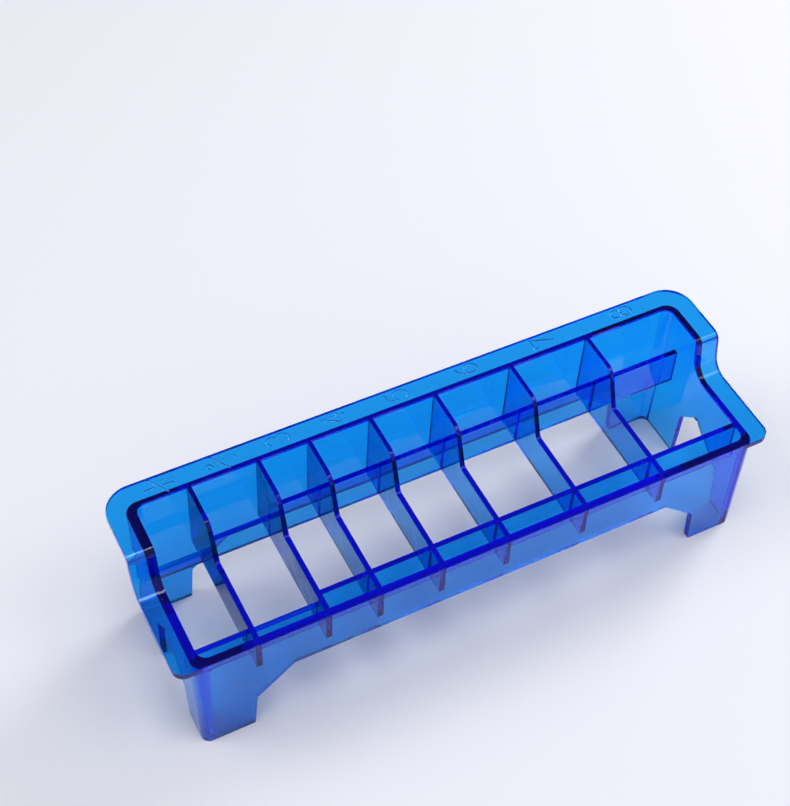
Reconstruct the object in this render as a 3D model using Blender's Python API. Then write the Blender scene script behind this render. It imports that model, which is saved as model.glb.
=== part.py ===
"""Storage rack for eight clipper guard combs: one clear moulding, modelled as its separate members.

Every member (rim sides, walls, corner legs, dividers, rails) is its own closed solid. JOIN is the
gap left where two members meet. Distances "from the front" run along +Y from the rim's front edge.
"""

import math

import bpy
from mathutils import Matrix

MM = 0.001

# Overall size of the rack
LENGTH = 220.0
DEPTH = 64.0
REAR_TOP = 62.0
FRONT_TOP = 47.0

# Rim: a flat flange whose inner edge is the inner face of the walls
RIM_THICKNESS = 2.0
RIM_FRONT_WIDTH = 2.8
RIM_REAR_WIDTH = 8.9
RIM_END_WIDTH = 9.2
RIM_FRONT_CORNER = 5.0
RIM_REAR_CORNER = 10.0
RIM_INNER_CORNER = 4.0
RIM_SPLIT_X = 94.0

# The step in the rim between its high rear and its low front
STEP_REAR = 39.6
STEP_ANGLE = 80.0
STEP_CREST_RADIUS = 3.5
STEP_FOOT_RADIUS = 6.5

# Walls and corner legs
WALL = 2.5
WALL_BOTTOM = 27.5
LEG_HEIGHT = 15.5
LEG_ARM = 30.0
LEG_TOP_X = 83.9
LEG_FOOT_X = 85.2
LEG_FRONT_TOP_Y = 14.4
LEG_FRONT_FOOT_Y = 12.6
LEG_REAR_TOP_Y = 36.6
LEG_REAR_FOOT_Y = 37.2
WALL_KINK_X = 70.4
END_OPENING_TOP = 28.2
END_OPENING_FRONT_Y = 27.0
END_OPENING_REAR_Y = 29.3
END_LEG_FRONT = 16.5
END_LEG_REAR = 20.8

# Dividers and the two rows of rails that tie them together
PLATE = 2.2
DIVIDER_X = (-82.1, -57.9, -39.6, -17.2, 7.1, 36.5, 66.9)
DIVIDER_BOTTOM = 32.4
DIVIDER_CREST_Y = 38.6
DIVIDER_FOOT_Y = 33.6
DIVIDER_CREST_RADIUS = 2.5
FRONT_RAIL_Y = 8.2
REAR_RAIL_Y = 45.2
FRONT_RAIL_TOPS = (41.4, 40.8) + 6 * (46.8,)
REAR_RAIL_TOPS = (36.6, 42.0) + 6 * (47.4,)

# Gap between neighbouring members, how far trimming shapes reach past them, and degrees per facet
JOIN = 0.3
MARGIN = 10.0
ARC_STEP = 12.0

RIM_BLUE = (0.02, 0.22, 0.80)
WALL_BLUE = (0.01, 0.12, 0.70)
PLATE_BLUE = (0.01, 0.07, 0.55)

AXIS_TURNS = {
    "X": Matrix(((0, 0, 1, 0), (1, 0, 0, 0), (0, 1, 0, 0), (0, 0, 0, 1))),
    "Y": Matrix(((1, 0, 0, 0), (0, 0, -1, 0), (0, 1, 0, 0), (0, 0, 0, 1))),
    "Z": Matrix.Identity(4),
}


def clear_scene():
    for obj in list(bpy.data.objects):
        bpy.data.objects.remove(obj, do_unlink=True)


def from_front(distance):
    """The Y coordinate at this distance behind the rim's front edge."""
    return distance - DEPTH / 2


def clear_plastic(name, color):
    material = bpy.data.materials.new(name)
    material.use_nodes = True
    shader = material.node_tree.nodes["Principled BSDF"]
    shader.inputs["Base Color"].default_value = (*color, 1.0)
    shader.inputs["Roughness"].default_value = 0.06
    shader.inputs["Metallic"].default_value = 0.0
    shader.inputs["Transmission Weight"].default_value = 0.6
    return material


def arc(centre, radius, start, end):
    """Points along an arc, with its angles in degrees."""
    count = max(2, math.ceil(abs(end - start) / ARC_STEP))
    angles = [math.radians(start + (end - start) * i / count) for i in range(count + 1)]
    return [(centre[0] + radius * math.cos(a), centre[1] + radius * math.sin(a)) for a in angles]


def prism(name, outline, axis, low, high):
    """A closed prism: a counter-clockwise outline pushed along an axis from low to high, in mm.

    The outline lies in YZ for the X axis, in XZ for the Y axis and in XY for the Z axis.
    """
    count = len(outline)
    if axis == "Y":
        low, high = -high, -low
    points = [(u, v, w) for w in (low, high) for u, v in outline]
    faces = [tuple(reversed(range(count))), tuple(range(count, 2 * count))]
    faces += [(i, (i + 1) % count, count + (i + 1) % count, count + i) for i in range(count)]
    mesh = bpy.data.meshes.new(name)
    mesh.from_pydata(points, [], faces)
    mesh.transform(Matrix.Scale(MM, 4) @ AXIS_TURNS[axis])
    mesh.validate()
    obj = bpy.data.objects.new(name, mesh)
    bpy.context.scene.collection.objects.link(obj)
    return obj


def cutter(name, outline, axis, low, high):
    """A prism that only trims other members."""
    obj = prism(name, outline, axis, low, high)
    obj.hide_render = True
    obj.display_type = "WIRE"
    return obj


def keep_inside(obj, *tools):
    """Leaves only what lies inside every tool."""
    for tool in tools:
        modifier = obj.modifiers.new("within_" + tool.name, "BOOLEAN")
        modifier.operation = "INTERSECT"
        modifier.solver = "EXACT"
        modifier.object = tool


def finish(obj, material):
    obj.data.materials.append(material)
    obj.data.shade_smooth()
    obj.data.set_sharp_from_angle(angle=math.radians(30))


def step_curve(inset):
    """The rim's step in side view, rear to front, lowered by inset square to the top surface."""
    turn = math.radians(STEP_ANGLE)
    crest = STEP_CREST_RADIUS - inset
    foot = STEP_FOOT_RADIUS + inset
    crest_centre = (from_front(STEP_REAR), REAR_TOP - STEP_CREST_RADIUS)
    foot_height = FRONT_TOP + STEP_FOOT_RADIUS
    drop = crest_centre[1] + STEP_CREST_RADIUS * math.cos(turn)
    drop -= foot_height - STEP_FOOT_RADIUS * math.cos(turn)
    reach = (STEP_CREST_RADIUS + STEP_FOOT_RADIUS) * math.sin(turn) + drop / math.tan(turn)
    foot_centre = (crest_centre[0] - reach, foot_height)
    return arc(crest_centre, crest, 90, 90 + STEP_ANGLE) + arc(foot_centre, foot, STEP_ANGLE - 90, -90)


def rim_line(inset):
    """The rim's top line in side view, rear to front and past both edges, lowered by inset."""
    reach = DEPTH / 2 + MARGIN
    return [(reach, REAR_TOP - inset)] + step_curve(inset) + [(-reach, FRONT_TOP - inset)]


def under_rim(inset):
    """The region below the rim's top line, lowered by inset, as a YZ outline."""
    reach = DEPTH / 2 + MARGIN
    return rim_line(inset) + [(-reach, -MARGIN), (reach, -MARGIN)]


def rim_end_outline():
    """Plan view of the +X end of the rim, round from its front split to its rear split."""
    front, rear, end = -DEPTH / 2, DEPTH / 2, LENGTH / 2
    inner_end = end - RIM_END_WIDTH
    inner_front = front + RIM_FRONT_WIDTH
    inner_rear = rear - RIM_REAR_WIDTH
    outline = [(RIM_SPLIT_X, front)]
    outline += arc((end - RIM_FRONT_CORNER, front + RIM_FRONT_CORNER), RIM_FRONT_CORNER, -90, 0)
    outline += arc((end - RIM_REAR_CORNER, rear - RIM_REAR_CORNER), RIM_REAR_CORNER, 0, 90)
    outline += [(RIM_SPLIT_X, rear), (RIM_SPLIT_X, inner_rear)]
    corner = RIM_INNER_CORNER
    outline += arc((inner_end - corner, inner_rear - corner), corner, 90, 0)
    outline += arc((inner_end - corner, inner_front + corner), corner, 0, -90)
    return outline + [(RIM_SPLIT_X, inner_front)]


def mirrored(outline):
    """The outline with its first coordinate turned about, still counter-clockwise."""
    return [(-u, v) for u, v in reversed(outline)]


def flipped(outline):
    """The outline with its second coordinate turned about, still counter-clockwise."""
    return [(u, -v) for u, v in reversed(outline)]


def make_rim(material):
    split = RIM_SPLIT_X - JOIN
    front, rear = -DEPTH / 2, DEPTH / 2
    bars = {
        "rim_front": (front, front + RIM_FRONT_WIDTH, FRONT_TOP),
        "rim_back": (rear - RIM_REAR_WIDTH, rear, REAR_TOP),
    }
    for name, (near, far, top) in bars.items():
        outline = [(-split, near), (split, near), (split, far), (-split, far)]
        finish(prism(name, outline, "Z", top - RIM_THICKNESS, top), material)
    section = rim_line(0.0) + list(reversed(rim_line(RIM_THICKNESS)))
    slab = cutter("rim_slab", section, "X", -LENGTH, LENGTH)
    ends = {"rim_right": rim_end_outline(), "rim_left": mirrored(rim_end_outline())}
    for name, outline in ends.items():
        rim = prism(name, outline, "Z", FRONT_TOP / 2, REAR_TOP + MARGIN)
        keep_inside(rim, slab)
        finish(rim, material)


def long_wall_outline(top):
    """Front or back wall in front view: straight below, sloping down to meet the legs."""
    edge = LEG_TOP_X - JOIN
    return [
        (-edge, top),
        (-edge, LEG_HEIGHT),
        (-WALL_KINK_X, WALL_BOTTOM),
        (WALL_KINK_X, WALL_BOTTOM),
        (edge, LEG_HEIGHT),
        (edge, top),
    ]


def make_long_walls(material):
    outer_front = RIM_FRONT_WIDTH - WALL
    inner_rear = DEPTH - RIM_REAR_WIDTH
    below = RIM_THICKNESS + JOIN
    places = {
        "front_wall": (outer_front, FRONT_TOP - below),
        "back_wall": (inner_rear, REAR_TOP - below),
    }
    for name, (near, top) in places.items():
        low = from_front(near)
        finish(prism(name, long_wall_outline(top), "Y", low, low + WALL), material)


def make_end_walls(material, below_rim):
    front = from_front(LEG_FRONT_TOP_Y + JOIN)
    rear = from_front(LEG_REAR_TOP_Y - JOIN)
    outline = [
        (rear, REAR_TOP),
        (front, REAR_TOP),
        (front, END_LEG_FRONT),
        (from_front(END_OPENING_FRONT_Y), END_OPENING_TOP),
        (from_front(END_OPENING_REAR_Y), END_OPENING_TOP),
        (rear, END_LEG_REAR),
    ]
    inner = LENGTH / 2 - RIM_END_WIDTH
    for name, low in (("right_end_wall", inner), ("left_end_wall", -inner - WALL)):
        wall = prism(name, outline, "X", low, low + WALL)
        keep_inside(wall, below_rim)
        finish(wall, material)


def leg_plan():
    """Plan view of the L-shaped leg at the +X, +Y corner, with its corner at the origin."""
    outer = RIM_INNER_CORNER + WALL
    inner_side = arc((-outer, -outer), RIM_INNER_CORNER, 90, 0)
    outer_side = arc((-outer, -outer), outer, 0, 90)
    arm = LEG_ARM
    return [(-arm, -WALL)] + inner_side + [(-WALL, -arm), (0, -arm)] + outer_side + [(-arm, 0)]


def shifted(outline, along, across):
    return [(u + along, v + across) for u, v in outline]


def leg_front_views():
    """Front-view outlines that a right and a left leg stay within."""
    reach = LENGTH / 2
    right = [
        (LEG_TOP_X, REAR_TOP + MARGIN),
        (LEG_TOP_X, LEG_HEIGHT),
        (LEG_FOOT_X, 0),
        (reach, 0),
        (reach, REAR_TOP + MARGIN),
    ]
    return {"right": right, "left": mirrored(right)}


def leg_side_views():
    """Side-view outlines that a front and a back leg stay within."""
    top, reach = REAR_TOP + MARGIN, DEPTH / 2
    front = [
        (-reach, top),
        (-reach, 0),
        (from_front(LEG_FRONT_FOOT_Y), 0),
        (from_front(LEG_FRONT_TOP_Y), END_LEG_FRONT),
        (from_front(LEG_FRONT_TOP_Y), top),
    ]
    back = [
        (from_front(LEG_REAR_TOP_Y), top),
        (from_front(LEG_REAR_TOP_Y), END_LEG_REAR),
        (from_front(LEG_REAR_FOOT_Y), 0),
        (reach, 0),
        (reach, top),
    ]
    return {"front": front, "back": back}


def make_legs(material, below_rim):
    outer_x = LENGTH / 2 - RIM_END_WIDTH + WALL
    back_y = from_front(DEPTH - RIM_REAR_WIDTH + WALL)
    front_y = from_front(RIM_FRONT_WIDTH - WALL)
    front_views = {
        side: cutter(f"{side}_leg_front_view", outline, "Y", -DEPTH, DEPTH)
        for side, outline in leg_front_views().items()
    }
    side_views = {
        end: cutter(f"{end}_leg_side_view", outline, "X", -LENGTH, LENGTH)
        for end, outline in leg_side_views().items()
    }
    for end in ("front", "back"):
        for side in ("left", "right"):
            plan = leg_plan()
            if end == "front":
                plan = flipped(plan)
            if side == "left":
                plan = mirrored(plan)
            corner_x = outer_x if side == "right" else -outer_x
            corner_y = back_y if end == "back" else front_y
            plan = shifted(plan, corner_x, corner_y)
            leg = prism(f"leg_{end}_{side}", plan, "Z", -MARGIN, REAR_TOP)
            keep_inside(leg, front_views[side], side_views[end], below_rim)
            finish(leg, material)


def divider_outline():
    """A divider in side view: tall behind the step, low in front of it."""
    front = from_front(RIM_FRONT_WIDTH + JOIN)
    rear = from_front(DEPTH - RIM_REAR_WIDTH - JOIN)
    low_top, high_top = FRONT_TOP - JOIN, REAR_TOP - JOIN
    crest, foot = from_front(DIVIDER_CREST_Y), from_front(DIVIDER_FOOT_Y)
    slope = math.degrees(math.atan2(high_top - low_top, crest - foot))
    radius = DIVIDER_CREST_RADIUS
    setback = radius * math.tan(math.radians(slope) / 2)
    rounded = arc((crest + setback, high_top - radius), radius, 90, 90 + slope)
    outline = [(front, DIVIDER_BOTTOM), (rear, DIVIDER_BOTTOM), (rear, high_top)]
    return outline + rounded + [(foot, low_top), (front, low_top)]


def make_dividers(material):
    for number, x in enumerate(DIVIDER_X, start=1):
        low, high = x - PLATE / 2, x + PLATE / 2
        finish(prism(f"divider_{number}", divider_outline(), "X", low, high), material)


def compartments():
    """The free X range of each compartment, from the left end wall to the right one."""
    inner = LENGTH / 2 - RIM_END_WIDTH
    starts = [-inner] + [x + PLATE / 2 for x in DIVIDER_X]
    ends = [x - PLATE / 2 for x in DIVIDER_X] + [inner]
    return [(start + JOIN, end - JOIN) for start, end in zip(starts, ends)]


def make_rails(material):
    rows = (("front_rail", FRONT_RAIL_Y, FRONT_RAIL_TOPS), ("rear_rail", REAR_RAIL_Y, REAR_RAIL_TOPS))
    for row, near, tops in rows:
        low = from_front(near)
        for number, ((start, end), top) in enumerate(zip(compartments(), tops), start=1):
            outline = [(start, DIVIDER_BOTTOM), (end, DIVIDER_BOTTOM), (end, top), (start, top)]
            finish(prism(f"{row}_{number}", outline, "Y", low, low + PLATE), material)


def main():
    clear_scene()
    rim = clear_plastic("rim_clear_blue", RIM_BLUE)
    wall = clear_plastic("wall_clear_blue", WALL_BLUE)
    plate = clear_plastic("plate_clear_blue", PLATE_BLUE)
    below_rim = cutter("below_rim", under_rim(RIM_THICKNESS + JOIN), "X", -LENGTH, LENGTH)
    make_rim(rim)
    make_long_walls(wall)
    make_end_walls(wall, below_rim)
    make_legs(wall, below_rim)
    make_dividers(plate)
    make_rails(plate)


main()
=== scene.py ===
"""Looks for the clear blue guard comb rack: one fused moulding, its numerals, studio and camera.

The CAD members are one moulding on the real object, so a single fused and rounded body stands for
all of them. Sizes here are in mm, in the row frame: Y runs from the low front to the high back.
"""

import math

import bmesh
import bpy
from mathutils import Matrix, Vector


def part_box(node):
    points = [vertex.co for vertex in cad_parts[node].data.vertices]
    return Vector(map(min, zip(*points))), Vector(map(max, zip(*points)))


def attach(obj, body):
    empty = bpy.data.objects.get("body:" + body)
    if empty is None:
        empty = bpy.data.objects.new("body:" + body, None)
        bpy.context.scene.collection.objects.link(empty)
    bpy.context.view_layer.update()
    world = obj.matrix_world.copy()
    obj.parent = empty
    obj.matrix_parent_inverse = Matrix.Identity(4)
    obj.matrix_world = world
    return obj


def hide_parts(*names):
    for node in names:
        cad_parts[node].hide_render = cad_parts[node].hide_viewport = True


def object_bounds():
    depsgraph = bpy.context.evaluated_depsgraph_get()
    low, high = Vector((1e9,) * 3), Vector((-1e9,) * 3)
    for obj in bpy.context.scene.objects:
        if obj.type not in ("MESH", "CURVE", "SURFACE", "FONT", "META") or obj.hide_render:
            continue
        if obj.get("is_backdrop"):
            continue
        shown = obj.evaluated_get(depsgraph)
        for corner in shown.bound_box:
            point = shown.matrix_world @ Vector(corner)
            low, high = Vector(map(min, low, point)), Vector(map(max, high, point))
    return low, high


MM = 0.001

# Stock and cutting tools run well past the rack
BEYOND_X, BEYOND_Y, BELOW_FEET = 150.0, 60.0, -10.0
SLAB_STOCK = (20.0, 80.0)
SKIRT_HEIGHTS, WELL_HEIGHTS = (0.0, 70.0), (-1.0, 71.0)

# Rim: a flange that steps down from the high back to the low front
RIM_THICKNESS = 2.5
RIM_FRONT_CORNER = 4.2
RIM_REAR_CORNER = 10.0
STEP_REAR = 7.6
STEP_ANGLE = 80.0
STEP_CREST_RADIUS = 3.5
STEP_FOOT_RADIUS = 6.5

# Walls: half sizes of their inner and outer faces, at the rim and at the feet
INNER_END_TOP, INNER_END_FOOT = 100.7, 101.6
OUTER_END_TOP, OUTER_END_FOOT = 104.0, 103.4
INNER_CORNER_TOP, INNER_CORNER_FOOT = 4.0, 3.0
OUTER_CORNER_TOP, OUTER_CORNER_FOOT = 5.0, 3.0
WALL_BOTTOM = 27.5
WALL_KINK_X = 70.4
LEG_HEIGHT = 15.5
LEG_TOP_X, LEG_FOOT_X = 83.9, 85.2
ARCH_ROUNDING = 1.5
END_CUT_FEET = (-19.4, 5.2)
END_CUT_SHOULDERS = ((-17.6, 16.5), (4.6, 20.8))
END_CUT_TOP = ((-5.0, 28.2), (-2.7, 28.2))
END_CUT_ROUNDING = 1.0

# Dividers and rails
COMPARTMENTS = 8
DIVIDER_CREST_Y, DIVIDER_FOOT_Y = 6.6, 1.6
DIVIDER_CREST_RADIUS, DIVIDER_FOOT_RADIUS = 4.0, 1.5
PLATE_TOP, PLATE_BOTTOM = 1.5, 2.2
RAIL_OVERLAP = 1.3
SAME_HEIGHT = 0.1

# Roundings, and the angles in degrees that count as flat, as an edge to round and as a sharp one
EDGE_ROUNDING, EDGE_SEGMENTS = 0.25, 2
RIM_ROUNDING, RIM_SEGMENTS, RIM_ANGLE = 0.25, 3, 30.0
FLAT_ANGLE, EDGE_ANGLE, SHARP_ANGLE = 0.5, 25.0, 50.0
MERGE_DISTANCE = 0.005
STRAIGHT_HALF_ANGLE = 89.0
ARC_STEP = 6.0
FLAT_FACE_WEIGHT = 100

# Size numerals sunk into the back rim, read from the left end
END_RIM_WIDTH = 9.2
NUMERAL_Y = 28.1
NUMERAL_HEIGHT, NUMERAL_WIDTH = 7.9, 4.0
SMALL_HEIGHT, SMALL_WIDTH = 2.9, 2.1
TINY_HEIGHT, TINY_WIDTH = 1.5, 1.1
SLASH_HEIGHT, SLASH_WIDTH = 4.6, 7.0
STROKE_RADIUS, FINE_STROKE_RADIUS = 0.41, 0.22
STROKE_LIFT, STROKE_STEP = 0.07, 0.017
STROKE_SIDES = 12
STROKE_TIP_ANGLES = (80, 55, 28)
CLOSED_GAP = 0.01
NUMERAL_ARC_STEP = 20.0
NUMERAL_STRIP, NUMERAL_STRIP_DEPTH = (23.6, 31.4), 1.0

# Parts of a double label, from the middle of its compartment and the numerals' line
UPPER_DIGIT, SLASH, LOWER_DIGIT = (-2.6, -1.1), (0.5, -0.7), (4.1, -1.3)
HALF_AFTER_DIGIT, HALF_ALONE = (4.1, 0.9), (4.1, 0.2)
HALF_SPREAD, HALF_BAR = 1.45, 0.8

# Clear plastic: each colour is absorbed at the density, per metre, times 1 minus its value
PLASTIC_IOR = 1.55
PLASTIC_COLOUR, PLASTIC_DENSITY = (0.0, 0.785, 0.991, 1.0), 1450.0

# Moulded surface: waves from the plastic's flow, and an uneven polish
WAVES_PER_METRE, WAVE_DETAIL, WAVE_DEPTH = 110.0, 2.0, 0.03
POLISH_MARKS_PER_METRE, POLISH_DETAIL = 260.0, 4.0
POLISH_RANGE, ROUGHNESS_RANGE = (0.45, 0.75), (0.0, 0.05)

# Floor, in metres
FLOOR_HALF, FLOOR_DROP = 3.0, 0.00005
FLOOR_COLOUR = (0.86, 0.86, 0.90, 1.0)
FLOOR_ROUGHNESS, FLOOR_SPECULAR = 0.6, 0.2

# Room light: its strength, and how it dims towards one direction high behind the rack
ROOM_LIGHT, DIM_LIGHT = 0.44, 0.13
DIM_DIRECTION = (0.3, 0.5, 0.8)
DIM_ANGLES = (55.0, 25.0)
ROOM_COLOUR = (0.92, 0.93, 1.0, 1.0)

# Soft boxes aimed at the middle of the floor: place and size in metres, power in watts
SOFTBOXES = (
    ("left_softbox", (-0.85, 0.25, 1.1), (0.7, 0.7), 3.9),
    ("right_softbox", (1.0, 0.32, 0.72), (0.5, 0.5), 5.2),
    ("front_softbox", (0.45, -0.4, 1.0), (0.5, 0.5), 1.4),
    ("overhead_softbox", (-0.1, -0.2, 1.4), (0.5, 0.5), 3.5),
)
LIGHT_BOUNCES = 32

# Camera, fitted to the photograph: lens and sensor in mm, place in metres, angles in degrees
LENS, SENSOR_WIDTH = 73.0, 36.0
CAMERA_PLACE = (-0.17606, -0.27924, 0.48407)
CAMERA_ANGLES = (39.52, -1.78, -26.89)

AXIS_TURNS = {
    "X": Matrix(((0, 0, 1, 0), (1, 0, 0, 0), (0, 1, 0, 0), (0, 0, 0, 1))),
    "Y": Matrix(((1, 0, 0, 0), (0, 0, -1, 0), (0, 1, 0, 0), (0, 0, 0, 1))),
    "Z": Matrix.Identity(4),
}


def box_mm(node):
    """A CAD node's lowest and highest corners, in mm."""
    low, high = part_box(node)
    return low / MM, high / MM


def arc(centre, radius, start, end):
    """Points along an arc, with its angles in degrees."""
    count = max(2, math.ceil(abs(end - start) / ARC_STEP))
    angles = [math.radians(start + (end - start) * i / count) for i in range(count + 1)]
    return [(centre[0] + radius * math.cos(a), centre[1] + radius * math.sin(a)) for a in angles]


def filleted(outline, radii):
    """The outline with each corner rounded to its radius."""
    points = []
    for i, corner in enumerate(outline):
        radius = radii[i]
        here = Vector(corner)
        back = (Vector(outline[i - 1]) - here).normalized()
        on = (Vector(outline[(i + 1) % len(outline)]) - here).normalized()
        half = back.angle(on) / 2
        if radius <= 0 or half > math.radians(STRAIGHT_HALF_ANGLE):
            points.append(corner)
            continue
        centre = here + (back + on).normalized() * radius / math.sin(half)
        start = here + back * radius / math.tan(half) - centre
        end = here + on * radius / math.tan(half) - centre
        turn = start.angle_signed(end)
        first = math.degrees(math.atan2(start.y, start.x))
        points += arc(centre, radius, first, first - math.degrees(turn))
    return points


def add_mesh(name, points, faces, turn=Matrix.Identity(4)):
    """An object from points in mm, turned to its axis."""
    mesh = bpy.data.meshes.new(name)
    mesh.from_pydata(points, [], faces)
    mesh.transform(Matrix.Scale(MM, 4) @ turn)
    mesh.validate()
    obj = bpy.data.objects.new(name, mesh)
    bpy.context.scene.collection.objects.link(obj)
    return obj


def loft(name, lower, upper, low, high, axis="Z"):
    """A closed solid between two outlines with as many points each."""
    count = len(lower)
    if axis == "Y":
        low, high = -high, -low
    points = [(u, v, low) for u, v in lower] + [(u, v, high) for u, v in upper]
    faces = [tuple(reversed(range(count))), tuple(range(count, 2 * count))]
    faces += [(i, (i + 1) % count, count + (i + 1) % count, count + i) for i in range(count)]
    return add_mesh(name, points, faces, AXIS_TURNS[axis])


def prism(name, outline, axis, low, high):
    """A closed solid with one outline all the way along an axis."""
    return loft(name, outline, outline, low, high, axis)


def apply_modifiers(obj):
    """Leaves the object with its mesh as its modifiers make it."""
    graph = bpy.context.evaluated_depsgraph_get()
    made = bpy.data.meshes.new_from_object(obj.evaluated_get(graph))
    obj.modifiers.clear()
    obj.data = made


def combine(body, tool, operation):
    """Applies one exact Boolean to the body and removes the tool."""
    modifier = body.modifiers.new(operation.lower(), "BOOLEAN")
    modifier.operation = operation
    modifier.solver = "EXACT"
    modifier.object = tool
    apply_modifiers(body)
    bpy.data.objects.remove(tool)


def step_curve(inset):
    """The rim's step in side view, rear to front, lowered by inset square to the top surface."""
    front_top, rear_top = box_mm("rim_front")[1].z, box_mm("rim_back")[1].z
    turn = math.radians(STEP_ANGLE)
    crest, foot = STEP_CREST_RADIUS - inset, STEP_FOOT_RADIUS + inset
    crest_centre = (STEP_REAR, rear_top - STEP_CREST_RADIUS)
    foot_height = front_top + STEP_FOOT_RADIUS
    drop = crest_centre[1] + STEP_CREST_RADIUS * math.cos(turn)
    drop -= foot_height - STEP_FOOT_RADIUS * math.cos(turn)
    reach = (STEP_CREST_RADIUS + STEP_FOOT_RADIUS) * math.sin(turn) + drop / math.tan(turn)
    foot_centre = (crest_centre[0] - reach, foot_height)
    return arc(crest_centre, crest, 90, 90 + STEP_ANGLE) + arc(foot_centre, foot, STEP_ANGLE - 90, -90)


def rim_line(inset):
    """The rim's side view from beyond the rear to beyond the front, lowered by inset."""
    front_top, rear_top = box_mm("rim_front")[1].z, box_mm("rim_back")[1].z
    curve = [(BEYOND_Y, rear_top - inset)] + step_curve(inset)
    return curve + [(-BEYOND_Y, front_top - inset)]


def rectangle(end, front, rear):
    return [(-end, front), (end, front), (end, rear), (-end, rear)]


def round_rim(rim):
    """Rounds every edge of the flange."""
    bevel = rim.modifiers.new("rounding", "BEVEL")
    bevel.width = RIM_ROUNDING * MM
    bevel.segments = RIM_SEGMENTS
    bevel.limit_method = "ANGLE"
    bevel.angle_limit = math.radians(RIM_ANGLE)
    apply_modifiers(rim)


def make_shell():
    """The flange with its step, and the walls and legs that hang from it."""
    low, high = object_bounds()
    length, front, rear = high[0] / MM, low[1] / MM, high[1] / MM
    corners = [RIM_FRONT_CORNER, RIM_FRONT_CORNER, RIM_REAR_CORNER, RIM_REAR_CORNER]
    plan = filleted(rectangle(length, front, rear), corners)
    shell = prism("rack_moulding", plan, "Z", *SLAB_STOCK)
    section = rim_line(0.0) + list(reversed(rim_line(RIM_THICKNESS)))
    combine(shell, prism("slab", section, "X", -BEYOND_X, BEYOND_X), "INTERSECT")
    round_rim(shell)
    add_numerals(shell)

    outer_front, outer_rear = box_mm("front_wall")[0].y, box_mm("back_wall")[1].y
    inner_front, inner_rear = box_mm("front_wall")[1].y, box_mm("back_wall")[0].y
    top = filleted(rectangle(OUTER_END_TOP, outer_front, outer_rear), 4 * [OUTER_CORNER_TOP])
    foot = filleted(rectangle(OUTER_END_FOOT, outer_front, outer_rear), 4 * [OUTER_CORNER_FOOT])
    skirt = loft("skirt", foot, top, *SKIRT_HEIGHTS)
    under = rim_line(RIM_THICKNESS / 2) + [(-BEYOND_Y, BELOW_FEET), (BEYOND_Y, BELOW_FEET)]
    combine(skirt, prism("under", under, "X", -BEYOND_X, BEYOND_X), "INTERSECT")
    combine(shell, skirt, "UNION")

    top = filleted(rectangle(INNER_END_TOP, inner_front, inner_rear), 4 * [INNER_CORNER_TOP])
    foot = filleted(rectangle(INNER_END_FOOT, inner_front, inner_rear), 4 * [INNER_CORNER_FOOT])
    combine(shell, loft("well", foot, top, *WELL_HEIGHTS), "DIFFERENCE")
    return shell


def cut_arches(shell):
    """The openings under the long walls and in the end walls."""
    side = [(LEG_FOOT_X, BELOW_FEET), (LEG_FOOT_X, 0.0)]
    side += [(LEG_TOP_X, LEG_HEIGHT), (WALL_KINK_X, WALL_BOTTOM)]
    outline = side + [(-x, z) for x, z in reversed(side)]
    rounding = [0, 0] + 4 * [ARCH_ROUNDING] + [0, 0]
    arch = prism("arch", filleted(outline, rounding), "Y", -BEYOND_Y, BEYOND_Y)
    combine(shell, arch, "DIFFERENCE")
    front, rear = END_CUT_FEET
    outline = [(front, BELOW_FEET), (rear, BELOW_FEET), (rear, 0.0)]
    outline += [END_CUT_SHOULDERS[1], END_CUT_TOP[1], END_CUT_TOP[0]]
    outline += [END_CUT_SHOULDERS[0], (front, 0.0)]
    rounding = [0, 0, 0] + 4 * [END_CUT_ROUNDING] + [0]
    end_cut = prism("end_cut", filleted(outline, rounding), "X", -BEYOND_X, BEYOND_X)
    combine(shell, end_cut, "DIFFERENCE")


def taper(plate, axis):
    """Draws a plate in towards its top, as the mould's draft leaves it."""
    low, high = box_mm("divider_1")[0].z, box_mm("rim_back")[1].z
    middle = sum(v.co[axis] for v in plate.data.vertices) / len(plate.data.vertices)
    for vertex in plate.data.vertices:
        share = (vertex.co.z / MM - low) / (high - low)
        thickness = PLATE_BOTTOM + (PLATE_TOP - PLATE_BOTTOM) * share
        side = 1 if vertex.co[axis] > middle else -1
        vertex.co[axis] = middle + side * thickness / 2 * MM
    return plate


def divider_outline():
    """A divider in side view, its ends sunk into the walls."""
    front, rear = box_mm("front_wall"), box_mm("back_wall")
    near, far = (front[0].y + front[1].y) / 2, (rear[0].y + rear[1].y) / 2
    bottom = box_mm("divider_1")[0].z
    low_top, high_top = box_mm("rim_front")[1].z, box_mm("rim_back")[1].z
    outline = [(near, bottom), (far, bottom), (far, high_top)]
    outline += [(DIVIDER_CREST_Y, high_top), (DIVIDER_FOOT_Y, low_top), (near, low_top)]
    return filleted(outline, [0, 0, 0, DIVIDER_CREST_RADIUS, DIVIDER_FOOT_RADIUS, 0])


def add_dividers(shell):
    """The seven stepped plates between the compartments."""
    for number in range(1, COMPARTMENTS):
        low, high = box_mm(f"divider_{number}")
        divider = prism(f"plate_{number}", divider_outline(), "X", low.x, high.x)
        combine(shell, taper(divider, 0), "UNION")


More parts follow.
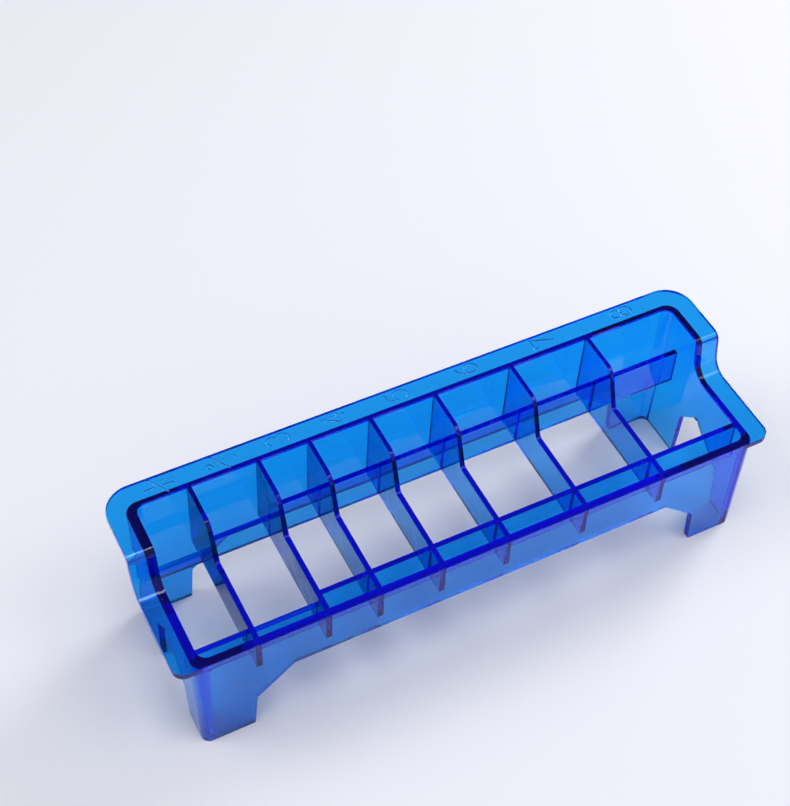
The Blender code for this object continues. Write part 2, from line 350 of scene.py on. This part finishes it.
def add_rails(shell):
    """The rails, one solid for each run of compartments that share a height."""
    for row in ("front_rail", "rear_rail"):
        start = 1
        for number in range(1, COMPARTMENTS + 1):
            low, high = box_mm(f"{row}_{number}")
            end = number == COMPARTMENTS
            if not end and abs(box_mm(f"{row}_{number + 1}")[1].z - high.z) <= SAME_HEIGHT:
                continue
            left = box_mm(f"{row}_{start}")[0].x - RAIL_OVERLAP
            right = high.x + RAIL_OVERLAP
            top = high.z
            if row == "front_rail" and end:
                top = box_mm("rim_front")[1].z
            outline = [(left, low.z), (right, low.z), (right, top), (left, top)]
            combine(shell, taper(prism("rail", outline, "Y", low.y, high.y), 1), "UNION")
            start = number + 1


def lobe(centre, radii, start, end):
    """Part of an ellipse in a numeral's own box, with its angles in degrees."""
    count = max(3, round(abs(end - start) / NUMERAL_ARC_STEP))
    angles = [math.radians(start + (end - start) * i / count) for i in range(count + 1)]
    return [(centre[0] + radii[0] * math.cos(a), centre[1] + radii[1] * math.sin(a)) for a in angles]


def numeral_strokes(digit):
    """A numeral's strokes in a box 1 wide and 1 high, each one smooth."""
    return {
        "1": [[(0.15, 0.8), (0.55, 1.0)], [(0.55, 1.0), (0.55, 0.0)]],
        "2": [lobe((0.5, 0.73), (0.46, 0.27), 165, -30) + [(0.04, 0.0)], [(0.04, 0.0), (1.0, 0.0)]],
        "3": [lobe((0.46, 0.76), (0.42, 0.24), 150, -90), lobe((0.46, 0.27), (0.5, 0.27), 90, -150)],
        "4": [[(0.72, 0.0), (0.72, 1.0)], [(0.72, 1.0), (0.0, 0.3)], [(0.0, 0.3), (1.0, 0.3)]],
        "5": [[(0.9, 1.0), (0.16, 1.0)], [(0.16, 1.0), (0.08, 0.54)],
              lobe((0.44, 0.32), (0.52, 0.32), 130, -140)],
        "6": [lobe((0.5, 0.3), (0.48, 0.3), 0, 360), lobe((0.92, 0.3), (0.9, 0.7), 95, 180)],
        "7": [[(0.0, 0.86), (0.0, 1.0)], [(0.0, 1.0), (1.0, 1.0)], [(1.0, 1.0), (0.35, 0.0)]],
        "8": [lobe((0.5, 0.76), (0.4, 0.24), 0, 360), lobe((0.5, 0.27), (0.5, 0.27), 0, 360)],
        "/": [[(0.0, 0.0), (1.0, 1.0)]],
    }[digit]


def groove(path, radius, lift=STROKE_LIFT):
    """A round bar along a path on the rim's top, its ends rounded unless the path closes."""
    top = box_mm("rim_back")[1].z + lift
    closed = (Vector(path[0]) - Vector(path[-1])).length < CLOSED_GAP
    points = [Vector(p) for p in (path[:-1] if closed else path)]
    count = len(points)
    stations = []
    for i, point in enumerate(points):
        before = points[i - 1] if closed or i else point
        after = points[(i + 1) % count] if closed or i < count - 1 else point
        stations.append((point, (after - before).normalized(), radius))
    if not closed:
        tips = [(math.sin(a), math.cos(a)) for a in map(math.radians, STROKE_TIP_ANGLES)]
        first, last = stations[0], stations[-1]
        start = [(first[0] - first[1] * radius * s, first[1], radius * c) for s, c in tips]
        end = [(last[0] + last[1] * radius * s, last[1], radius * c) for s, c in tips]
        stations = start + stations + end[::-1]
    turns = [2 * math.pi * k / STROKE_SIDES for k in range(STROKE_SIDES)]
    rings = [
        [(p.x + t.y * r * math.cos(a), p.y - t.x * r * math.cos(a), top + r * math.sin(a))
         for a in turns]
        for p, t, r in stations
    ]
    spans = len(rings) if closed else len(rings) - 1
    faces = []
    for i in range(spans):
        here, there = i * STROKE_SIDES, (i + 1) % len(rings) * STROKE_SIDES
        for k in range(STROKE_SIDES):
            after = (k + 1) % STROKE_SIDES
            faces.append((here + k, there + k, there + after, here + after))
    if not closed:
        last = (len(rings) - 1) * STROKE_SIDES
        faces += [tuple(range(STROKE_SIDES)), tuple(reversed(range(last, last + STROKE_SIDES)))]
    return add_mesh("groove", [c for ring in rings for c in ring], faces)


def engrave(shell, digit, place, height, width, radius=STROKE_RADIUS):
    """Cuts one numeral whose top points to -X, with its middle at place."""
    for step, stroke in enumerate(numeral_strokes(digit)):
        path = [(place[0] - (v - 0.5) * height, place[1] + (u - 0.5) * width) for u, v in stroke]
        combine(shell, groove(path, radius, STROKE_LIFT + step * STROKE_STEP), "DIFFERENCE")


def engrave_half(shell, place):
    """Cuts a small half, its 1 over its 2 with a bar between them."""
    for digit, offset in (("1", -HALF_SPREAD), ("2", HALF_SPREAD)):
        engrave(shell, digit, (place[0] + offset, place[1]), TINY_HEIGHT, TINY_WIDTH, FINE_STROKE_RADIUS)
    bar = [(place[0], place[1] - HALF_BAR), (place[0], place[1] + HALF_BAR)]
    combine(shell, groove(bar, FINE_STROKE_RADIUS), "DIFFERENCE")


def shifted(middle, offset):
    """A place on the back rim, by its offset from a compartment's middle."""
    return (middle + offset[0], NUMERAL_Y + offset[1])


def add_numerals(shell):
    """1 and 1½ share the first compartment, 2 and ½ the second, then 3 to 8."""
    walls = [-box_mm("rim_right")[1].x + END_RIM_WIDTH]
    walls += [sum(box_mm(f"divider_{n}")[i].x for i in (0, 1)) / 2 for n in range(1, COMPARTMENTS)]
    walls.append(-walls[0])
    middles = [(a + b) / 2 for a, b in zip(walls, walls[1:])]
    for digit, middle in zip("345678", middles[2:]):
        engrave(shell, digit, (middle, NUMERAL_Y), NUMERAL_HEIGHT, NUMERAL_WIDTH)
    for digit, middle in zip("12", middles):
        engrave(shell, digit, shifted(middle, UPPER_DIGIT), SMALL_HEIGHT, SMALL_WIDTH)
        engrave(shell, "/", shifted(middle, SLASH), SLASH_HEIGHT, SLASH_WIDTH)
    engrave(shell, "1", shifted(middles[0], LOWER_DIGIT), SMALL_HEIGHT, SMALL_WIDTH)
    engrave_half(shell, shifted(middles[0], HALF_AFTER_DIGIT))
    engrave_half(shell, shifted(middles[1], HALF_ALONE))


def engraved(point):
    """Whether a point lies among the numerals' grooves on the back rim."""
    bottom = box_mm("rim_back")[1].z - NUMERAL_STRIP_DEPTH
    return point.z / MM > bottom and NUMERAL_STRIP[0] < point.y / MM < NUMERAL_STRIP[1]


def tidy(shell):
    """Merges what the Booleans leave doubled and flattens what is flat, numerals apart."""
    mesh = bmesh.new()
    mesh.from_mesh(shell.data)
    plain = [vert for vert in mesh.verts if not engraved(vert.co)]
    bmesh.ops.remove_doubles(mesh, verts=plain, dist=MERGE_DISTANCE * MM)
    plain = [vert for vert in mesh.verts if not engraved(vert.co)]
    edges = [edge for edge in mesh.edges if not any(engraved(vert.co) for vert in edge.verts)]
    bmesh.ops.dissolve_limit(mesh, angle_limit=math.radians(FLAT_ANGLE), verts=plain, edges=edges)
    mesh.to_mesh(shell.data)
    mesh.free()


def soften(shell):
    """Small roundings along every edge but those of the numerals, and no loose edges left over."""
    mesh = bmesh.new()
    mesh.from_mesh(shell.data)
    edges = [edge for edge in mesh.edges if edge.calc_face_angle(0.0) > math.radians(EDGE_ANGLE)]
    edges = [edge for edge in edges if not engraved((edge.verts[0].co + edge.verts[1].co) / 2)]
    bmesh.ops.bevel(mesh, geom=edges, offset=EDGE_ROUNDING * MM, segments=EDGE_SEGMENTS,
                    profile=0.5, affect="EDGES", offset_type="OFFSET", clamp_overlap=True)
    loose = [edge for edge in mesh.edges if not edge.link_faces]
    bmesh.ops.delete(mesh, geom=loose, context="EDGES")
    loose = [vert for vert in mesh.verts if not vert.link_faces]
    bmesh.ops.delete(mesh, geom=loose, context="VERTS")
    mesh.to_mesh(shell.data)
    mesh.free()


def smooth_normals(shell):
    """Soft shading with normals that keep the flat faces flat."""
    shell.data.shade_smooth()
    shell.data.set_sharp_from_angle(angle=math.radians(SHARP_ANGLE))
    normals = shell.modifiers.new("normals", "WEIGHTED_NORMAL")
    normals.weight = FLAT_FACE_WEIGHT
    normals.keep_sharp = True


def set_ranges(node, source, result):
    """Sets what a Map Range node maps from and to."""
    for socket, value in zip(("From Min", "From Max", "To Min", "To Max"), (*source, *result)):
        node.inputs[socket].default_value = value


def add_moulded_surface(tree, shader):
    """Faint waves from the plastic's flow, and a polish that is a little uneven."""
    nodes, links = tree.nodes, tree.links
    place = nodes.new("ShaderNodeTexCoord")
    waves, polish = nodes.new("ShaderNodeTexNoise"), nodes.new("ShaderNodeTexNoise")
    waves.inputs["Scale"].default_value = WAVES_PER_METRE
    waves.inputs["Detail"].default_value = WAVE_DETAIL
    polish.inputs["Scale"].default_value = POLISH_MARKS_PER_METRE
    polish.inputs["Detail"].default_value = POLISH_DETAIL
    bump = nodes.new("ShaderNodeBump")
    bump.inputs["Distance"].default_value = WAVE_DEPTH * MM
    roughness = nodes.new("ShaderNodeMapRange")
    set_ranges(roughness, POLISH_RANGE, ROUGHNESS_RANGE)
    for noise in (waves, polish):
        links.new(place.outputs["Object"], noise.inputs["Vector"])
    links.new(waves.outputs["Fac"], bump.inputs["Height"])
    links.new(bump.outputs["Normal"], shader.inputs["Normal"])
    links.new(polish.outputs["Fac"], roughness.inputs["Value"])
    links.new(roughness.outputs["Result"], shader.inputs["Roughness"])


def blue_plastic():
    """Clear plastic that takes its blue from the depth of plastic the light has crossed."""
    material = bpy.data.materials.new("clear_blue_plastic")
    material.use_nodes = True
    nodes, links = material.node_tree.nodes, material.node_tree.links
    shader = nodes["Principled BSDF"]
    shader.inputs["Base Color"].default_value = (1.0, 1.0, 1.0, 1.0)
    shader.inputs["IOR"].default_value = PLASTIC_IOR
    shader.inputs["Transmission Weight"].default_value = 1.0
    tint = nodes.new("ShaderNodeVolumeAbsorption")
    tint.inputs["Color"].default_value = PLASTIC_COLOUR
    tint.inputs["Density"].default_value = PLASTIC_DENSITY
    links.new(tint.outputs["Volume"], nodes["Material Output"].inputs["Volume"])
    add_moulded_surface(material.node_tree, shader)
    return material


def make_floor():
    """A plain pale floor, a hair under the feet."""
    mesh = bpy.data.meshes.new("floor")
    corners = [(x, y, -FLOOR_DROP) for x, y in rectangle(FLOOR_HALF, -FLOOR_HALF, FLOOR_HALF)]
    mesh.from_pydata(corners, [], [(0, 1, 2, 3)])
    floor = bpy.data.objects.new("floor", mesh)
    bpy.context.scene.collection.objects.link(floor)
    material = bpy.data.materials.new("pale_sweep")
    material.use_nodes = True
    shader = material.node_tree.nodes["Principled BSDF"]
    shader.inputs["Base Color"].default_value = FLOOR_COLOUR
    shader.inputs["Roughness"].default_value = FLOOR_ROUGHNESS
    shader.inputs["Specular IOR Level"].default_value = FLOOR_SPECULAR
    mesh.materials.append(material)
    floor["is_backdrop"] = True


def area_light(name, place, size, power):
    """A soft box aimed at the middle of the floor."""
    light = bpy.data.lights.new(name, "AREA")
    light.shape = "RECTANGLE"
    light.size, light.size_y = size
    light.energy = power
    obj = bpy.data.objects.new(name, light)
    obj.location = place
    obj.rotation_euler = (-Vector(place)).to_track_quat("-Z", "Y").to_euler()
    bpy.context.scene.collection.objects.link(obj)


def deepen_light_paths(cycles):
    """Light runs down inside the thin walls by many internal reflections."""
    cycles.max_bounces = LIGHT_BOUNCES
    cycles.glossy_bounces = LIGHT_BOUNCES
    cycles.transmission_bounces = LIGHT_BOUNCES


def darken_behind(tree):
    """Even light all round, but dim high behind the rack, so that its flat faces stay clear."""
    nodes, links = tree.nodes, tree.links
    place = nodes.new("ShaderNodeTexCoord")
    towards = nodes.new("ShaderNodeVectorMath")
    towards.operation = "DOT_PRODUCT"
    towards.inputs[1].default_value = Vector(DIM_DIRECTION).normalized()
    strength = nodes.new("ShaderNodeMapRange")
    strength.interpolation_type = "SMOOTHSTEP"
    edges = [math.cos(math.radians(angle)) for angle in DIM_ANGLES]
    set_ranges(strength, edges, (ROOM_LIGHT, DIM_LIGHT))
    background = nodes["Background"]
    background.inputs["Color"].default_value = ROOM_COLOUR
    links.new(place.outputs["Generated"], towards.inputs[0])
    links.new(towards.outputs["Value"], strength.inputs["Value"])
    links.new(strength.outputs["Result"], background.inputs["Strength"])


def make_studio():
    """Floor, soft boxes, room light and the settings that the clear plastic needs."""
    make_floor()
    for softbox in SOFTBOXES:
        area_light(*softbox)
    world = bpy.data.worlds.new("studio")
    world.use_nodes = True
    darken_behind(world.node_tree)
    bpy.context.scene.world = world
    bpy.context.scene.view_settings.view_transform = "Standard"
    bpy.context.scene.view_settings.look = "Medium High Contrast"
    deepen_light_paths(bpy.context.scene.cycles)


def make_camera():
    """The camera at the photograph's viewing angle."""
    camera = bpy.data.cameras.new("camera")
    camera.lens = LENS
    camera.sensor_width = SENSOR_WIDTH
    obj = bpy.data.objects.new("camera", camera)
    obj.location = CAMERA_PLACE
    obj.rotation_euler = [math.radians(angle) for angle in CAMERA_ANGLES]
    bpy.context.scene.collection.objects.link(obj)
    bpy.context.scene.camera = obj


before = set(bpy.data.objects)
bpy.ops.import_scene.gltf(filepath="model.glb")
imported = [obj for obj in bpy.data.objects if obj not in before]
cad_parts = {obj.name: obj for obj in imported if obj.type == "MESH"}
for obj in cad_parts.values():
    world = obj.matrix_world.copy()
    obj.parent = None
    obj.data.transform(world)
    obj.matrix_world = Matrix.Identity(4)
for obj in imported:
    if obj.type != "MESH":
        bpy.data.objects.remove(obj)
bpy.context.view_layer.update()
make_camera()
make_studio()
rack = make_shell()
cut_arches(rack)
add_dividers(rack)
add_rails(rack)
tidy(rack)
soften(rack)
smooth_normals(rack)
rack.data.materials.append(blue_plastic())
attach(rack, "root")
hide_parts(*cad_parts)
